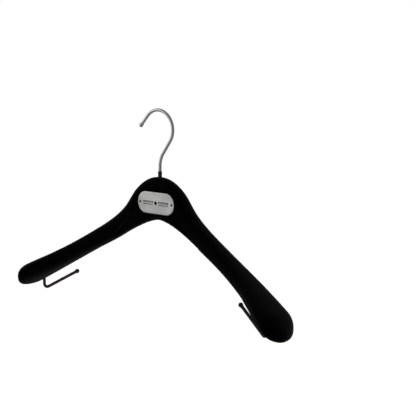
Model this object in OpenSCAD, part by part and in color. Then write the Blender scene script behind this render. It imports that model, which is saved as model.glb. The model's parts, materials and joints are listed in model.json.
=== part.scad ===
// Wide-shoulder clothes hanger: a two-piece moulded body, a swivelling wire hook,
// a badge in a recess, and a rod under each arm that holds straps and loops.
// Frame: the origin is the hook's rest on a rail, straight above the swivel axis.
// +X runs along the shoulders, the badge faces -Y, and +Z is up.
// All sizes are in millimetres and all angles in degrees.

/* [Body] */
// Width across the shoulder ends
hanger_w = 445; // [370:5:540]
// Fall of the shoulder line from the crown's foot to the shoulder end
arm_drop = 81.5; // [65:0.5:100]
// How far the shoulder ends sweep forward
arm_sweep = 37.5; // [20:0.5:45]
// Depth of the body at the neck, front to back
neck_depth = 22.8; // [21:0.2:28]
// Depth of the shoulder ends, front to back
shoulder_depth = 47.8; // [40:0.2:58]
// Extra fullness of the shoulders' front faces, just short of their ends
front_fullness = 6; // [0:0.1:8]
// Height of the shoulder ends
shoulder_h = 30.9; // [27:0.1:37]
// Length of the rounded shoulder ends
end_round = 18.3; // [12:0.1:22]
// Wall of the moulded shells
wall = 2.2; // [1.8:0.1:2.6]

/* [Recess and badge] */
// Depth of the recess below the body's face at the neck
recess_depth = 4; // [3:0.1:4.5]
// Crown above the recess
recess_top = 6.6; // [6:0.1:9]
// Recess floor above the badge
badge_above = 11.8; // [9:0.1:15]
// Body below the badge
badge_below = 8.6; // [6:0.1:12]
// Recess floor beside the badge's ends
badge_beside = 6; // [4:0.1:8]
// Badge length
badge_w = 60; // [50:0.5:74]
// Badge height
badge_h = 27.4; // [24:0.1:34]
// Badge corner radius
badge_r = 13.2; // [6:0.1:13.2]
// Badge plate thickness
badge_t = 1.8; // [1.2:0.1:2.2]
// Depth of the pocket that the badge sits in
pocket_depth = 0.5; // [0.3:0.1:0.8]
// Distance of the pins from the badge's ends
pin_inset = 3.8; // [3.5:0.1:6]
// Pin diameter
pin_d = 1.8; // [1.4:0.1:2.2]

/* [Hook] */
// Wire diameter
wire_d = 4; // [3.4:0.1:4.8]
// Radius of the hook's loop, to the wire's centre
loop_r = 23.8; // [20:0.1:29]
// Straight stem above the body
stem_h = 13.2; // [11:0.1:18]
// Radius of the bend above the stem, to the wire's centre
bend_r = 28.2; // [20:0.1:35]
// Lean of the run between the stem and the loop
lean = 36.2; // [30:0.1:40]
// Length of the straight run between the bend and the loop
lean_run = 19.3; // [12:0.1:26]
// Angle that the loop turns through
loop_turn = 173.6; // [160:0.1:180]
// Straight length at the free end, up to the swell
tail = 13.4; // [8:0.1:20]
// Diameter of the swelled end
swell_d = 5.2; // [5:0.1:6]
// Length of the swelled end
swell_l = 5; // [3:0.1:7]
// Height of the sleeve on the stem above the body
collar_h = 7.3; // [5:0.1:9]
// Wall of the sleeve
collar_wall = 0.5; // [0.4:0.05:0.8]

/* [Strap bars] */
// Rod diameter
rod_d = 4; // [3:0.1:4.2]
// Distance of the rod's leg from the shoulder end
bar_inset = 35; // [30:0.5:42]
// Length of the bar along the shoulders, leg to ball end
bar_reach = 48.7; // [40:0.1:60]
// Drop from the arm's underside to the bar at its leg
bar_gap_leg = 16.3; // [12:0.1:19]
// Drop from the arm's underside to the bar at its ball end
bar_gap_ball = 16.3; // [12:0.1:20]
// How far the leg stands ahead of the parting line
bar_ahead_leg = 4.9; // [4.4:0.1:7]
// How far the ball end stands ahead of the parting line
bar_ahead_ball = 2.2; // [0:0.1:4]
// Radius of the rod's bend, to its centre
bar_bend_r = 4; // [3.5:0.1:5]
// Ball end diameter
ball_d = 6; // [5:0.1:7]
// Depth of the leg's bore inside the arm
leg_depth = 13; // [10:0.1:15]

/* [Fits] */
// Radial clearance of the stem in its bush
running_gap = 0.06; // [0.03:0.01:0.1]
// Clearance between parts that pass each other
free_gap = 0.3; // [0.2:0.05:0.4]
// Endwise play of the hook
end_play = 0.1; // [0.05:0.05:0.2]
// Clearance of the locating pegs and round the badge
loose_gap = 0.1; // [0.05:0.05:0.2]

/* [Hidden] */
round_fn = 64;
far = 60;

// Crown and recess heights below the neck
crown_h = recess_top + badge_above + badge_h + badge_below;
badge_z = -(recess_top + badge_above + badge_h / 2);

// Body outline: [distance from the centre, value]
crown_foot = 75;
half_w = hanger_w / 2;
arm_l = half_w - crown_foot;
arm_sag = 0.18;
function arm_line(s) = [crown_foot + arm_l * s, -57.5 - arm_drop * s * (1 + arm_sag * (1 - s))];
top_line = concat([[0, 0], [18, -3.6], [36, -16.2], [54, -39.6], [crown_foot, -57.5]],
    [for (s = [0.24, 0.58, 0.88, 1]) arm_line(s)]);
height_line = concat([[0, crown_h], [18, crown_h + 0.3], [36, crown_h - 4.8],
    [54, crown_h - 19.2], [crown_foot, crown_h - 25]],
    [[crown_foot + arm_l * 0.24, shoulder_h - 5.1], [crown_foot + arm_l * 0.58, shoulder_h - 5.1],
    [crown_foot + arm_l * 0.88, shoulder_h - 1.2], [half_w, shoulder_h]]);
crown_depths = [[0, neck_depth / 2], [54, neck_depth / 2 + 0.7],
    [crown_foot + arm_l * 0.24, neck_depth / 2 + 2.7]];
back_depths = concat(crown_depths, [[crown_foot + arm_l * 0.62, shoulder_depth / 2 - 3.3],
    [half_w, shoulder_depth / 2]]);
front_depths = concat(crown_depths, [[crown_foot + arm_l * 0.5, shoulder_depth / 2 - 6],
    [crown_foot + arm_l * 0.62, shoulder_depth / 2 - 4 + front_fullness / 2],
    [crown_foot + arm_l * 0.85, shoulder_depth / 2 + front_fullness],
    [half_w, shoulder_depth / 2 - front_fullness]]);
sweep_start = 30;
section_power = 2 / 2.42;

// Smooth curve through a list of [x, y] points, flat at its start
function span(x, p, i = 0) = (i >= len(p) - 2 || x < p[i + 1][0]) ? i : span(x, p, i + 1);
function slope(p, i) = i == 0 ? 0 :
    let (j = min(i + 1, len(p) - 1)) (p[j][1] - p[i - 1][1]) / (p[j][0] - p[i - 1][0]);
function curve(x, p) =
    let (i = span(x, p), w = p[i + 1][0] - p[i][0], t = (x - p[i][0]) / w)
    (2 * t ^ 3 - 3 * t ^ 2 + 1) * p[i][1] + (t ^ 3 - 2 * t ^ 2 + t) * w * slope(p, i)
    + (3 * t ^ 2 - 2 * t ^ 3) * p[i + 1][1] + (t ^ 3 - t ^ 2) * w * slope(p, i + 1);
// Smooth curve through plane points, five steps to a span
function way(p, i) = p[max(0, min(len(p) - 1, i))];
function through(p) = [for (i = [0 : len(p) - 2]) for (t = [0 : 0.2 : 0.9])
    let (a = way(p, i - 1), b = way(p, i), c = way(p, i + 1), d = way(p, i + 2))
    b + t * (c - a) / 2 + t ^ 2 * (a - 2.5 * b + 2 * c - d / 2)
    + t ^ 3 * (1.5 * (b - c) + (d - a) / 2)];

function part_y(x) = -arm_sweep * (max(0, abs(x) - sweep_start) / (half_w - sweep_start)) ^ 2;
function top_z(x) = curve(abs(x), top_line);
function under_z(x) = top_z(x) - curve(abs(x), height_line);
// Share of the full section that is left in the rounded shoulder end
function end_share(x) = let (u = (abs(x) - half_w + end_round) / end_round)
    u <= 0 ? 1 : sqrt(max(0, 1 - u ^ 2));
function power(v) = sign(v) * abs(v) ^ section_power;

// Recess in both faces, from its lowest point on one side over the top to the other
recess_y = neck_depth / 2 - recess_depth;
recess_x = badge_w / 2 + badge_beside;
recess_side = [[19.5, -recess_top - 5.4], [recess_x - 6, -recess_top - 15.2],
    [recess_x, badge_z - 2], [recess_x + 5.5, badge_z - 14], [recess_x + 12, badge_z - 23],
    [recess_x + 21, badge_z - 33], [recess_x + 34, badge_z - 47]];
recess_reach = recess_x + 34;
recess_outline = through(concat([for (i = [len(recess_side) - 1 : -1 : 0])
    [-recess_side[i][0], recess_side[i][1]]], [[0, -recess_top]], recess_side,
    [[recess_reach, badge_z - far - 20]]));

// Swivel, measured down from the neck along the stem
stem_r = wire_d / 2;
collar_r = stem_r + collar_wall;
chamber_r = recess_y - wall;
flange_r = chamber_r - free_gap;
bush_r = flange_r - 0.9;
washer_r = chamber_r - 0.5;
retainer_r = chamber_r - 0.8;
collar_sink = 1.6;
bush_top = -collar_sink - free_gap - end_play;
flange_top = bush_top - 10;
flange_t = 1.6;
washer_top = flange_top - flange_t - end_play;
washer_t = 0.8;
retainer_t = 2;
retainer_top = washer_top - washer_t;
stem_end = retainer_top - retainer_t - 1;
chamber_end = stem_end - 1;
web_x = chamber_r + 3.8;

// Wires: bent stretches are a hair thinner than the straight stems that they start in
wire_sides = 16;
arc_step = 6;
join = 0.02;

// Hook path, up from the neck
bend_end = [bend_r * (1 - cos(lean)), stem_h + bend_r * sin(lean)];
run_end = bend_end + lean_run * [sin(lean), cos(lean)];
loop_centre = run_end + loop_r * [-cos(lean), sin(lean)];
neck_z = -(loop_centre[1] + loop_r - stem_r);

// Strap bars: the leg's bore is in a solid rib across the arm
leg_x = half_w - bar_inset;
leg_y = part_y(leg_x) - bar_ahead_leg;
corner = [leg_x, leg_y, under_z(leg_x) - bar_gap_leg];
ball = [leg_x - bar_reach, part_y(leg_x - bar_reach) - bar_ahead_ball,
    under_z(leg_x - bar_reach) - bar_gap_ball];
run = ball - corner;
run_level = norm([run[0], run[1]]);
run_turn = 90 + atan2(run[2], run_level);
run_heading = atan2(run[1], run[0]);
bend_trim = bar_bend_r * tan(run_turn / 2);
rod_r = rod_d / 2;
leg_top = under_z(leg_x) + leg_depth;
rib_half = rod_r + 3.7;
tip_grip = 1.6;

// Locating pegs: [distance from the centre, height below the neck]
peg_r = 2;
peg_l = 4;
pegs = [[0, badge_z - 7.7], [leg_x, leg_top + 8], [-leg_x, leg_top + 8]];

// Stations along one side: the cavities are open between the webs and ribs
section_steps = 12;
crown_steps = 12;
cap_angle = 15;
cap_start = half_w - end_round;
function steps(a, b, n) = [for (i = [1 : n]) a + (b - a) * i / n];
side_stations = concat([0, web_x], steps(web_x, crown_foot, crown_steps),
    steps(crown_foot, leg_x - rib_half, 10), [leg_x + rib_half],
    steps(leg_x + rib_half, cap_start, 2),
    [for (a = [cap_angle : cap_angle : 76]) cap_start + end_round * sin(a)]);
stations = concat([for (i = [len(side_stations) - 1 : -1 : 1]) -side_stations[i]], side_stations);
cavity_end = cap_start + end_round * sin(2 * cap_angle) + 0.01;
function is_open(x) = let (a = abs(x)) (a > web_x - 0.01 && a < leg_x - rib_half + 0.01)
    || (a > leg_x + rib_half - 0.01 && a < cavity_end);
// Whether the cavity runs on from station i to the next
function runs_on(i) = let (a = stations[i], b = stations[i + 1])
    is_open(a) && is_open(b) && is_open((a + b) / 2);

function section(x, inset, half) =
    let (k = end_share(x), zc = (top_z(x) + under_z(x)) / 2,
        hz = (top_z(x) - under_z(x)) / 2 * k - inset,
        hy = curve(abs(x), half < 0 ? front_depths : back_depths) * k - inset)
    [for (j = [0 : section_steps]) let (a = -90 + 180 * j / section_steps)
        [x, part_y(x) + half * hy * power(cos(a)), zc + hz * power(sin(a))]];
// The cavity stays a wall's thickness behind the recess
function cavity(x, half) = let (deep = chamber_r + max(0, abs(x) - recess_reach))
    [for (p = section(x, wall, half)) [p[0], half * min(deep, half * p[1]), p[2]]];

// One hollow half of the body, half = -1 in front of the parting line and 1 behind it
module half_body(half) {
    n = len(stations);
    m = section_steps + 1;
    outer = [for (x = stations) each section(x, 0, half)];
    inner = [for (x = stations) each cavity(x, half)];
    tips = [for (s = [-1, 1]) [s * half_w, part_y(half_w), (top_z(half_w) + under_z(half_w)) / 2]];
    in0 = n * m;
    tip0 = 2 * n * m;
    skin = [for (i = [0 : n - 2]) for (j = [0 : m - 2])
        let (a = i * m + j, b = a + m) each [[a, b, b + 1], [a, b + 1, a + 1]]];
    lining = [for (i = [0 : n - 2]) if (runs_on(i)) for (j = [0 : m - 2])
        let (a = in0 + i * m + j, b = a + m) each [[a, b + 1, b], [a, a + 1, b + 1]]];
    lips = [for (i = [0 : n - 2]) if (runs_on(i)) let (a = i * m, b = a + m, t = m - 1)
        each [[a, in0 + a, in0 + b], [a, in0 + b, b],
            [a + t, b + t, in0 + b + t], [a + t, in0 + b + t, in0 + a + t]]];
    // Solid stretches of the parting face, with the cavity's corners on their ends
    solid = [for (i = [0 : n - 2]) if (!runs_on(i)) let (a = i * m, b = a + m, t = m - 1,
            before = i > 0 && runs_on(i - 1), after = i < n - 2 && runs_on(i + 1),
            left = before ? [a, in0 + a, in0 + a + t, a + t] : [a, a + t],
            right = after ? [b + t, in0 + b + t, in0 + b, b] : [b + t, b],
            nl = len(left), nr = len(right))
        each concat([for (k = [0 : nl - 2]) [left[k], left[k + 1], right[nr - 1]]],
            [for (k = [0 : nr - 2]) [left[nl - 1], right[k], right[k + 1]]])];
    ends = [for (i = [0 : n - 1]) let (a = in0 + i * m,
            starts = i < n - 1 && runs_on(i) && !(i > 0 && runs_on(i - 1)),
            stops = i > 0 && runs_on(i - 1) && !(i < n - 1 && runs_on(i)))
        if (starts || stops) for (j = [1 : m - 2])
            starts ? [a, a + j + 1, a + j] : [a, a + j, a + j + 1]];
    caps = [for (j = [0 : m - 1]) let (k = (j + 1) % m, b = (n - 1) * m)
        each [[j, k, tip0], [b + k, b + j, tip0 + 1]]];
    faces = concat(skin, lining, lips, solid, ends, caps);
    translate([0, 0, neck_z])
        polyhedron(concat(outer, inner, tips),
            half < 0 ? [for (f = faces) [f[2], f[1], f[0]]] : faces);
}

// Seats for the bush and the hook's end, cut half from each shell
module swivel_seats() {
    translate([0, 0, neck_z]) {
        translate([0, 0, bush_top - 1]) cylinder(r = collar_r + free_gap, h = far, $fn = round_fn);
        translate([0, 0, flange_top - 1]) cylinder(r = bush_r, h = bush_top - flange_top + 1,
            $fn = round_fn);
        translate([0, 0, flange_top - flange_t]) cylinder(r = flange_r, h = flange_t, $fn = round_fn);
        translate([0, 0, chamber_end]) cylinder(r = chamber_r,
            h = flange_top - flange_t - chamber_end, $fn = round_fn);
    }
}

module recess(half) {
    translate([0, half > 0 ? recess_y + far : -recess_y, neck_z]) rotate([90, 0, 0])
        linear_extrude(far) polygon(concat(recess_outline, [[-recess_reach, badge_z - far - 20]]));
}

module rounded(w, h, corner_r) {
    r = min(corner_r, h / 2 - 0.1);
    square([w - 2 * r, h], center = true);
    square([w, h - 2 * r], center = true);
    for (x = [-1, 1], z = [-1, 1])
        translate([x * (w / 2 - r), z * (h / 2 - r)]) circle(r, $fn = round_fn);
}

// A bar along Y from its front end, centred on the badge
module badge_bar(y) {
    translate([0, y, neck_z + badge_z]) rotate([-90, 0, 0]) children();
}
pin_x = badge_w / 2 - pin_inset;
badge_back = -recess_y + pocket_depth;
pin_head = badge_back - badge_t + 0.2;
pin_l = 6.2;
pin_boss_r = pin_d / 2 + 1.8;

module front_shell() {
    color("#151516") difference() {
        union() {
            half_body(-1);
            badge_bar(-chamber_r - wall / 4) for (s = [-1, 1]) translate([s * pin_x, 0, 0])
                cylinder(r = pin_boss_r, h = chamber_r + wall / 4 - 0.5, $fn = round_fn);
        }
        recess(-1);
        swivel_seats();
        badge_bar(badge_back - far) linear_extrude(far)
            rounded(badge_w + 2 * loose_gap, badge_h + 2 * loose_gap, badge_r + loose_gap);
        badge_bar(pin_head) for (s = [-1, 1]) translate([s * pin_x, 0, 0])
            cylinder(d = pin_d, h = pin_l, $fn = round_fn);
        for (s = [-1, 1]) translate([s * leg_x, leg_y, neck_z + corner[2]])
            cylinder(r = rod_r, h = leg_top - corner[2], $fn = round_fn);
        for (p = pegs) translate([p[0], part_y(p[0]) - peg_l - free_gap, neck_z + p[1]])
            rotate([-90, 0, 0]) cylinder(r = peg_r + loose_gap, h = far / 6, $fn = round_fn);
    }
}

module back_shell() {
    color("#131314") union() {
        difference() {
            half_body(1);
            recess(1);
            swivel_seats();
        }
        for (p = pegs) translate([p[0], part_y(p[0]) - peg_l, neck_z + p[1]])
            rotate([-90, 0, 0]) cylinder(r = peg_r, h = peg_l + chamber_r, $fn = round_fn);
    }
}

// Path points are [x, z, heading, radius] in an upright plane
function arc_path(centre, r, from, turn, wire_r) = let (n = ceil(abs(turn) / arc_step))
    [for (i = [0 : n]) let (a = from + turn * i / n)
        [centre[0] + r * cos(a), centre[1] + r * sin(a), a + 90 * sign(turn), wire_r]];

// Round wire swept along a path in the XZ plane
module swept(path) {
    n = len(path);
    points = [for (p = path) for (k = [0 : wire_sides - 1]) let (a = 360 * k / wire_sides)
        [p[0] - p[3] * cos(a) * sin(p[2]), p[3] * sin(a), p[1] + p[3] * cos(a) * cos(p[2])]];
    sides = [for (i = [0 : n - 2]) for (k = [0 : wire_sides - 1])
        let (a = i * wire_sides, b = a + wire_sides, c = (k + 1) % wire_sides)
        each [[a + k, a + c, b + c], [a + k, b + c, b + k]]];
    polyhedron(points, concat(sides, [[for (k = [wire_sides - 1 : -1 : 0]) k]],
        [[for (k = [0 : wire_sides - 1]) (n - 1) * wire_sides + k]]));
}

module hook() {
    bent_r = stem_r - join;
    end_heading = 90 - lean + loop_turn;
    ahead = [cos(end_heading), sin(end_heading)];
    loop_end = loop_centre + loop_r * [cos(loop_turn - lean), sin(loop_turn - lean)];
    // Distance past the loop and radius, over the tail and its swelled end
    end_profile = [[tail, bent_r], [tail + swell_l / 3, swell_d / 2],
        [tail + swell_l * 0.8, swell_d / 2], [tail + swell_l * 0.94, swell_d / 2 - 0.4],
        [tail + swell_l, swell_d / 2 - 1.1]];
    color("#b9babd") translate([0, 0, neck_z]) {
        translate([0, 0, stem_end]) cylinder(r = stem_r, h = stem_h - stem_end, $fn = round_fn);
        swept(concat([[0, stem_h - 1, 90, bent_r]],
            arc_path([bend_r, stem_h], bend_r, 180, -lean, bent_r),
            arc_path(loop_centre, loop_r, -lean, loop_turn, bent_r),
            [for (e = end_profile) let (p = loop_end + e[0] * ahead)
                [p[0], p[1], end_heading, e[1]]]));
    }
}

module tube(r, bore, h) {
    difference() {
        cylinder(r = r, h = h, $fn = round_fn);
        translate([0, 0, -1]) cylinder(r = bore, h = h + 2, $fn = round_fn);
    }
}

module hook_collar() {
    color("#0c0c0d") translate([0, 0, neck_z - collar_sink])
        tube(collar_r, stem_r, collar_sink + collar_h);
}

module hook_bush() {
    color("#d8d6cf") translate([0, 0, neck_z]) difference() {
        union() {
            translate([0, 0, flange_top]) cylinder(r = bush_r, h = bush_top - flange_top,
                $fn = round_fn);
            translate([0, 0, flange_top - flange_t]) cylinder(r = flange_r, h = flange_t,
                $fn = round_fn);
        }
        translate([0, 0, chamber_end]) cylinder(r = stem_r + running_gap, h = -chamber_end,
            $fn = round_fn);
    }
}

module thrust_washer() {
    color("#a8a9ac") translate([0, 0, neck_z + washer_top - washer_t])
        tube(washer_r, stem_r, washer_t);
}

module hook_retainer() {
    color("#8c8d90") translate([0, 0, neck_z + retainer_top - retainer_t])
        tube(retainer_r, stem_r, retainer_t);
}

module badge_plate() {
    border_in = 1.9;
    border_w = 0.4;
    engraving = 0.15;
    rule_x = 17;
    color("#b4b4b1") badge_bar(badge_back - badge_t) difference() {
        linear_extrude(badge_t) rounded(badge_w, badge_h, badge_r);
        for (s = [-1, 1]) translate([s * pin_x, 0, -1]) cylinder(d = pin_d, h = badge_t + 2,
            $fn = round_fn);
        translate([0, 0, -1]) linear_extrude(1 + engraving) {
            difference() {
                rounded(badge_w - 2 * border_in, badge_h - 2 * border_in, badge_r - border_in);
                rounded(badge_w - 2 * border_in - 2 * border_w,
                    badge_h - 2 * border_in - 2 * border_w, badge_r - border_in - border_w);
            }
            rotate(45) square(3.2, center = true);
            for (s = [-1, 1]) translate([s * (4.5 + rule_x / 2), 0])
                square([rule_x - 4, 0.9], center = true);
        }
    }
}

module badge_pins() {
    color("#2c2c2e") badge_bar(pin_head) for (s = [-1, 1]) translate([s * pin_x, 0, 0])
        cylinder(d = pin_d, h = pin_l, $fn = round_fn);
}

// Bent rod on the side given by s, from the top of its leg to its ball end
module strap_bar(s) {
    bent_r = rod_r - join;
    along = norm(run) - ball_d / 2 + tip_grip;
    rise = run_turn - 90;
    color("#2f3033") mirror([s < 0 ? 1 : 0, 0, 0]) translate([0, 0, neck_z]) {
        translate([leg_x, leg_y, corner[2] + bend_trim])
            cylinder(r = rod_r, h = leg_top - corner[2] - bend_trim, $fn = round_fn);
        translate(corner) rotate([0, 0, run_heading])
            swept(concat([[0, bend_trim + 1, -90, bent_r]],
                arc_path([bar_bend_r, bend_trim], bar_bend_r, 180, run_turn, bent_r),
                [[along * cos(rise), along * sin(rise), rise, bent_r]]));
    }
}

module bar_tip(s) {
    color("#1d1d1f") mirror([s < 0 ? 1 : 0, 0, 0]) translate([0, 0, neck_z]) translate(ball)
        rotate([0, 0, run_heading]) rotate([0, 180 - run_turn, 0]) difference() {
            sphere(d = ball_d, $fn = 48);
            translate([0, 0, -ball_d]) cylinder(r = rod_r, h = ball_d / 2 + tip_grip, $fn = 32);
        }
}

module left_strap_bar() { strap_bar(-1); }
module right_strap_bar() { strap_bar(1); }
module left_bar_tip() { bar_tip(-1); }
module right_bar_tip() { bar_tip(1); }

front_shell();
back_shell();
hook();
hook_collar();
hook_bush();
thrust_washer();
hook_retainer();
badge_plate();
badge_pins();
left_strap_bar();
right_strap_bar();
left_bar_tip();
right_bar_tip();
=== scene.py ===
"""Wide-shoulder clothes hanger with a flocked body, a swivelling chrome hook and two strap bars."""

import json
import math

import bmesh
import bpy
from bpy.props import (
    FloatProperty,
    FloatVectorProperty,
    IntProperty,
    PointerProperty,
)
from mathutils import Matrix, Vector


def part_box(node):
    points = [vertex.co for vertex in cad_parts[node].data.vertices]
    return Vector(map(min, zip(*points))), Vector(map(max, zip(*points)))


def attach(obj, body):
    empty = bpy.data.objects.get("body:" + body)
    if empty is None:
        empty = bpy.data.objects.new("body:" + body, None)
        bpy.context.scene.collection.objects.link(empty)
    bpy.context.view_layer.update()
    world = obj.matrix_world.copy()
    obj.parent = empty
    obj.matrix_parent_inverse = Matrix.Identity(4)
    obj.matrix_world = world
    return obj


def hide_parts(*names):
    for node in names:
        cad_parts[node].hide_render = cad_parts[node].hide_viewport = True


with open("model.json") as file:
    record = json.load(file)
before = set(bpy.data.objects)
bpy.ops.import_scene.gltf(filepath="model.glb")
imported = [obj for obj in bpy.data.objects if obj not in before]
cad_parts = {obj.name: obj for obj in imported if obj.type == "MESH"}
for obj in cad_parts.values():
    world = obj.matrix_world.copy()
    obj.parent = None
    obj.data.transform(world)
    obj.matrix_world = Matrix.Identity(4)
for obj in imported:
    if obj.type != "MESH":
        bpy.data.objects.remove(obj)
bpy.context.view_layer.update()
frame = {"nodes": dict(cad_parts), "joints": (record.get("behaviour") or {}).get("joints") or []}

bl_info = {
    "name": "Clothes Hanger",
    "version": (1, 0, 0),
    "blender": (4, 5, 0),
    "location": "3D View > Sidebar > Hanger",
    "description": "Builds the visible pieces of a flocked clothes hanger around its packed model",
    "category": "Object",
}

MM = 0.001

# Places that the packed model fixes
NODES = frame["nodes"]
NECK_Z = frame["joints"][0]["pos_m"][2]
HALF_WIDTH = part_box("front_shell")[1].x
BADGE_LOW, BADGE_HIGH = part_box("badge_plate")
BADGE_CENTRE = (BADGE_LOW + BADGE_HIGH) / 2
BUSH_LOW, BUSH_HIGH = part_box("hook_bush")
COLLAR_LOW, COLLAR_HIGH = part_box("hook_collar")
PIN_LOW, PIN_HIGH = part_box("badge_pins")
TIP_LOW, TIP_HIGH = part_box("right_bar_tip")
BAR_LOW, BAR_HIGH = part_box("right_strap_bar")

# Body outline in millimetres: [distance from the centre, height or depth], heights from the neck
CROWN_FOOT = 75.0
ARM_LENGTH = HALF_WIDTH / MM - CROWN_FOOT
ARM_DROP = 81.5
ARM_SAG = 0.18
ARM_SHARES = (0.24, 0.58, 0.88, 1.0)
CROWN_LINE = [(0, 0), (18, -3.6), (36, -16.2), (54, -39.6), (CROWN_FOOT, -57.5)]
ARM_LINE = [
    (CROWN_FOOT + ARM_LENGTH * s, -57.5 - ARM_DROP * s * (1 + ARM_SAG * (1 - s))) for s in ARM_SHARES
]
CROWN_HEIGHTS = [(0, 54.4), (18, 54.7), (36, 49.6), (54, 35.2), (CROWN_FOOT, 29.4)]
ARM_HEIGHTS = [
    (CROWN_FOOT + ARM_LENGTH * s, h) for s, h in zip(ARM_SHARES, (25.8, 25.8, 29.7, 30.9))
]
CROWN_DEPTHS = [(0, 11.4), (54, 12.1), (CROWN_FOOT + ARM_LENGTH * 0.24, 14.1)]
BACK_DEPTHS = CROWN_DEPTHS + [
    (CROWN_FOOT + ARM_LENGTH * 0.62, 20.6), (CROWN_FOOT + ARM_LENGTH, 23.9),
]
FRONT_DEPTHS = CROWN_DEPTHS + [
    (CROWN_FOOT + ARM_LENGTH * 0.5, 17.9), (CROWN_FOOT + ARM_LENGTH * 0.62, 22.9),
    (CROWN_FOOT + ARM_LENGTH * 0.85, 29.9), (CROWN_FOOT + ARM_LENGTH, 17.9),
]
SWEEP_START = 30.0
ARM_SWEEP = 37.5
END_ROUND = 18.3
# Recess outline on one side, from the top of the recess down to the body's underside
RECESS_LINE = [
    (0, -6.6), (19.5, -12), (30, -21.8), (36, -34.05), (41.5, -46.05), (48, -55.05),
    (57, -65.05), (66, -74.4), (70, -79.6), (72.5, -88),
]
RECESS_END = 74.0
# Past the recess: where its rows begin to spread over the section, how far on, and to what angles
SPREAD_START, SPREAD_RUN = 62.0, 26.0
EVEN_LIP, EVEN_FOOT = math.radians(25), math.radians(15)


# ---------------------------------------------------------------- shape of the body

def smooth_line(points):
    """Returns a smooth curve y(x) through the points, level at the first one."""
    def slope(i):
        if i == 0:
            return 0.0
        j = min(i + 1, len(points) - 1)
        return (points[j][1] - points[i - 1][1]) / (points[j][0] - points[i - 1][0])

    def curve(x):
        i = max(k for k in range(len(points) - 1) if k == 0 or x >= points[k][0])
        (x0, y0), (x1, y1) = points[i], points[i + 1]
        w = x1 - x0
        t = (x - x0) / w
        return (
            (2 * t**3 - 3 * t**2 + 1) * y0
            + (t**3 - 2 * t**2 + t) * w * slope(i)
            + (3 * t**2 - 2 * t**3) * y1
            + (t**3 - t**2) * w * slope(i + 1)
        )

    return curve


top_line = smooth_line(CROWN_LINE + ARM_LINE)
height_line = smooth_line(CROWN_HEIGHTS + ARM_HEIGHTS)
depth_lines = {-1.0: smooth_line(FRONT_DEPTHS), 1.0: smooth_line(BACK_DEPTHS)}
recess_line = smooth_line(RECESS_LINE)


def parting_y(x):
    """Where the parting line runs, front to back, at a distance from the centre."""
    half = HALF_WIDTH / MM
    return -ARM_SWEEP * (max(0.0, abs(x) - SWEEP_START) / (half - SWEEP_START)) ** 2


def end_share(x):
    """Share of the full section that is left in the rounded shoulder end."""
    u = (abs(x) - HALF_WIDTH / MM + END_ROUND) / END_ROUND
    return 1.0 if u <= 0 else math.sqrt(max(0.0, 1 - u * u))


def stations(crown_step, arm_step, end_steps):
    """Distances from the centre at which the body has a section, both sides."""
    cap = HALF_WIDTH / MM - END_ROUND
    fine = crown_step / 2
    side = spread(0, RECESS_END - 10, crown_step) + spread(RECESS_END - 10, RECESS_END + 2, fine)
    side += spread(RECESS_END + 2, cap, arm_step)
    side += [cap + END_ROUND * math.sin(math.pi / 2 * i / end_steps) for i in range(1, end_steps + 1)]
    return [-x for x in reversed(side)] + [0.0] + side


def spread(start, stop, step):
    """Even steps after start, up to and with stop."""
    n = max(1, round((stop - start) / step))
    return [start + (stop - start) * (i + 1) / n for i in range(n)]


# ---------------------------------------------------------------- node helpers

def add(tree, kind, inputs=None, out=0, **settings):
    """Adds a node, sets or links its inputs, and returns one of its outputs."""
    node = tree.nodes.new(kind)
    for name, value in settings.items():
        setattr(node, name, value)
    for key, value in (inputs or {}).items():
        socket = open_socket(node.inputs, key)
        if isinstance(value, bpy.types.NodeSocket):
            tree.links.new(value, socket)
        else:
            socket.default_value = value
    return open_socket(node.outputs, out)


def open_socket(sockets, key):
    """The socket with this number, or the enabled one with this name."""
    if isinstance(key, int):
        return sockets[key]
    return next(s for s in sockets if s.name == key and s.enabled)


def sum_up(tree, operation, *values):
    """Adds a Math node over values or sockets."""
    return add(tree, "ShaderNodeMath", dict(enumerate(values)), operation=operation)


def ramp(tree, value, low, high, to_low=0.0, to_high=1.0, smooth=False):
    """Maps a value from one range to another, clamped at its ends."""
    inputs = {"Value": value, "From Min": low, "From Max": high, "To Min": to_low, "To Max": to_high}
    kind = "SMOOTHERSTEP" if smooth else "LINEAR"
    return add(tree, "ShaderNodeMapRange", inputs, "Result", interpolation_type=kind, clamp=True)


def blend_colours(tree, share, first, second):
    """Mixes two colours by a mask."""
    inputs = {"Factor": share, "A": first, "B": second}
    return add(tree, "ShaderNodeMix", inputs, "Result", data_type="RGBA")


def new_tree(name, kind, inputs, outputs):
    """Makes a node group with named sockets, and returns it with its input and output nodes."""
    tree = bpy.data.node_groups.new(name, kind)
    for label, socket, value in inputs:
        made = tree.interface.new_socket(label, in_out="INPUT", socket_type="NodeSocket" + socket)
        if value is not None:
            made.default_value = value
    for label, socket in outputs:
        tree.interface.new_socket(label, in_out="OUTPUT", socket_type="NodeSocket" + socket)
    return tree, tree.nodes.new("NodeGroupInput").outputs, tree.nodes.new("NodeGroupOutput").inputs


def run_tree(obj, tree, values):
    """Runs a geometry tree on the object and keeps the result as its plain mesh."""
    modifier = obj.modifiers.new(tree.name, "NODES")
    modifier.node_group = tree
    for item in tree.interface.items_tree:
        if item.item_type == "SOCKET" and item.in_out == "INPUT" and item.name in values:
            modifier[item.identifier] = values[item.name]
    keep_result(obj)


def keep_result(obj):
    """Turns the object's modifiers into plain mesh."""
    bpy.context.view_layer.update()
    depsgraph = bpy.context.evaluated_depsgraph_get()
    mesh = bpy.data.meshes.new_from_object(obj.evaluated_get(depsgraph), depsgraph=depsgraph)
    obj.modifiers.clear()
    obj.data = mesh
    mesh.name = obj.name


# ---------------------------------------------------------------- mesh helpers

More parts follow.
